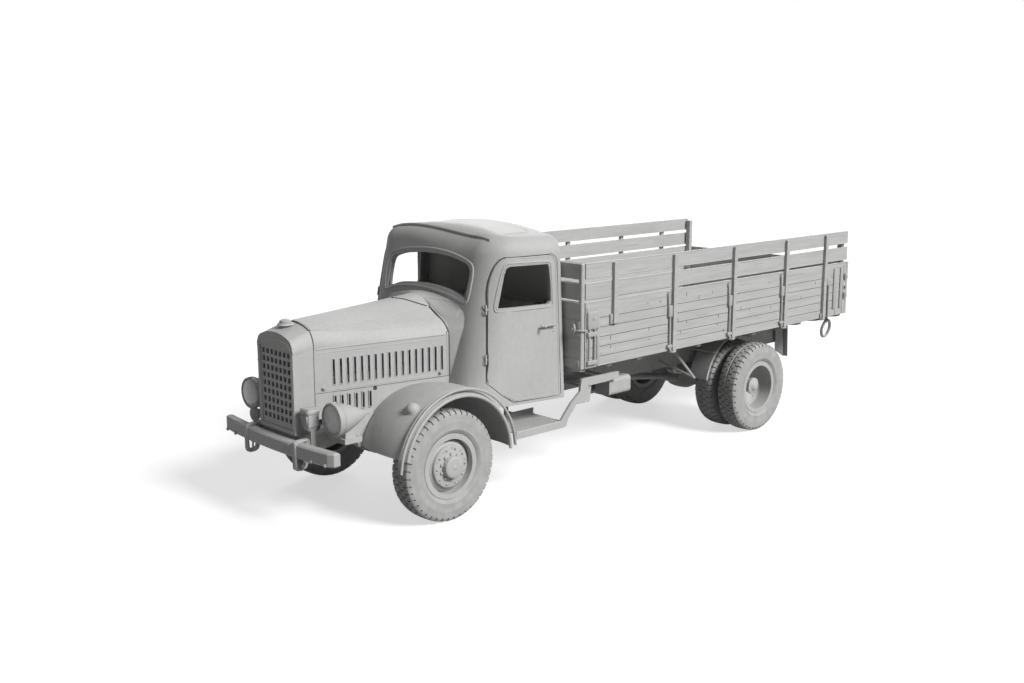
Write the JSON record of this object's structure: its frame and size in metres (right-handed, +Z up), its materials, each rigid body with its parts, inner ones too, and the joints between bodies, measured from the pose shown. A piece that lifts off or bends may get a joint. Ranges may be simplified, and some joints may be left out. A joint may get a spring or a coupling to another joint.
{
  "type": "military cargo truck",
  "caption": "Long-nosed cargo truck with a closed steel cab, louvred hood, steered front wheels, paired rear wheels and a planked drop-side bed with stake boards.",
  "frame": {"origin": "on the ground under the middle of the truck's length and width", "axes": "+X the truck's left, +Y towards its tail, +Z up; the front faces -Y"},
  "size_m": [2.554, 7.491, 2.5799],
  "materials": {
    "body_paint": "matte light grey primer",
    "chassis_paint": "matte grey primer",
    "wheel_paint": "matte grey primer",
    "tyre": "matte grey, block tread",
    "bed_wood": "planks painted matte grey, grain showing",
    "seat_cover": "matte grey cover",
    "wheel_grip": "matte grey",
    "engine_iron": "rough casting",
    "radiator_metal": "dull black fins"
  },
  "bodies": {
    "chassis": {"chassis_frame": "chassis_paint", "front_bumper": "chassis_paint", "radiator_shell": "body_paint", "radiator_grille": "body_paint", "radiator_core": "radiator_metal", "hood_center": "body_paint", "cab_shell": "body_paint", "cab_roof": "body_paint", "cab_floor": "body_paint", "dashboard": "body_paint", "steering_column": "chassis_paint", "seat": "seat_cover", "engine_block": "engine_iron", "front_axle": "chassis_paint", "leaf_springs": "chassis_paint", "rear_axle": "chassis_paint", "propeller_shaft": "chassis_paint", "headlamps": "body_paint", "side_tanks": "chassis_paint", "exhaust": "chassis_paint", "bed_frame": "bed_wood", "bed_bearers": "bed_wood", "bed_hinges": "chassis_paint", "bed_floor": "bed_wood", "headboard": "bed_wood", "front_fenders": "body_paint", "running_boards": "body_paint", "rear_mudguards": "body_paint"},
    "steering_wheel": {"steering_wheel": "wheel_grip"},
    "tie_rod": {"tie_rod": "chassis_paint"},
    "tailgate": {"tailgate": "bed_wood"},
    "knuckle_left": {"knuckle_left": "chassis_paint"},
    "front_wheel_left": {"front_rim_left": "wheel_paint", "front_tyre_left": "tyre"},
    "rear_wheels_left": {"rear_rims_left": "wheel_paint", "rear_tyres_left": "tyre"},
    "hood_lid_left": {"hood_lid_left": "body_paint"},
    "door_left": {"door_left": "body_paint"},
    "dropside_left": {"dropside_left": "bed_wood", "stake_rack_left": "bed_wood"},
    "knuckle_right": {"knuckle_right": "chassis_paint"},
    "front_wheel_right": {"front_rim_right": "wheel_paint", "front_tyre_right": "tyre"},
    "rear_wheels_right": {"rear_rims_right": "wheel_paint", "rear_tyres_right": "tyre"},
    "hood_lid_right": {"hood_lid_right": "body_paint"},
    "door_right": {"door_right": "body_paint"},
    "dropside_right": {"dropside_right": "bed_wood", "stake_rack_right": "bed_wood"}
  },
  "joints": [
    {"name": "steer_left", "type": "hinge", "parent": "chassis", "child": "knuckle_left", "pos_m": [0.745, -2.5105, 0.515], "axis": [0, 0, 1], "range_deg": [-30, 30]},
    {"name": "steer_right", "type": "hinge", "parent": "chassis", "child": "knuckle_right", "pos_m": [-0.745, -2.5105, 0.515], "axis": [0, 0, 1], "range_deg": [-30, 30]},
    {"name": "tie_rod_swing", "type": "hinge", "parent": "knuckle_left", "child": "tie_rod", "pos_m": [0.745, -2.3205, 0.425], "axis": [0, 0, 1], "range_deg": [-30, 30]},
    {"name": "steering_wheel_turn", "type": "hinge", "parent": "chassis", "child": "steering_wheel", "pos_m": [0.42, -1.6605, 1.67], "axis": [0, 0.6559, 0.7549], "range_deg": [-450, 450]},
    {"name": "front_wheel_spin_left", "type": "hinge", "parent": "knuckle_left", "child": "front_wheel_left", "pos_m": [0.927, -2.5105, 0.515], "axis": [1, 0, 0], "continuous": true},
    {"name": "rear_wheel_spin_left", "type": "hinge", "parent": "chassis", "child": "rear_wheels_left", "pos_m": [0.859, 2.0895, 0.515], "axis": [1, 0, 0], "continuous": true},
    {"name": "door_left_swing", "type": "hinge", "parent": "chassis", "child": "door_left", "pos_m": [0.85125, -1.92125, 1.614], "axis": [0.1048, -0.1005, -0.9894], "range_deg": [0, 65]},
    {"name": "hood_left_lift", "type": "hinge", "parent": "chassis", "child": "hood_lid_left", "pos_m": [0.24, -2.7605, 1.759], "axis": [0, -1, 0], "range_deg": [0, 60]},
    {"name": "dropside_left_fold", "type": "hinge", "parent": "chassis", "child": "dropside_left", "pos_m": [1.262, 1.2445, 1.203], "axis": [0, 1, 0], "range_deg": [0, 180]},
    {"name": "front_wheel_spin_right", "type": "hinge", "parent": "knuckle_right", "child": "front_wheel_right", "pos_m": [-0.927, -2.5105, 0.515], "axis": [1, 0, 0], "continuous": true},
    {"name": "rear_wheel_spin_right", "type": "hinge", "parent": "chassis", "child": "rear_wheels_right", "pos_m": [-0.859, 2.0895, 0.515], "axis": [1, 0, 0], "continuous": true},
    {"name": "door_right_swing", "type": "hinge", "parent": "chassis", "child": "door_right", "pos_m": [-0.85125, -1.92125, 1.614], "axis": [0.1048, 0.1005, 0.9894], "range_deg": [0, 65]},
    {"name": "hood_right_lift", "type": "hinge", "parent": "chassis", "child": "hood_lid_right", "pos_m": [-0.24, -2.7605, 1.759], "axis": [0, 1, 0], "range_deg": [0, 60]},
    {"name": "dropside_right_fold", "type": "hinge", "parent": "chassis", "child": "dropside_right", "pos_m": [-1.262, 1.2445, 1.203], "axis": [0, -1, 0], "range_deg": [0, 180]},
    {"name": "tailgate_fold", "type": "hinge", "parent": "chassis", "child": "tailgate", "pos_m": [0, 3.7325, 1.203], "axis": [-1, 0, 0], "range_deg": [0, 180]}
  ],
  "couplings": [
    {"joint": "steer_right", "follows": "steer_left", "ratio": 1},
    {"joint": "tie_rod_swing", "follows": "steer_left", "ratio": -1},
    {"joint": "steering_wheel_turn", "follows": "steer_left", "ratio": 15}
  ]
}
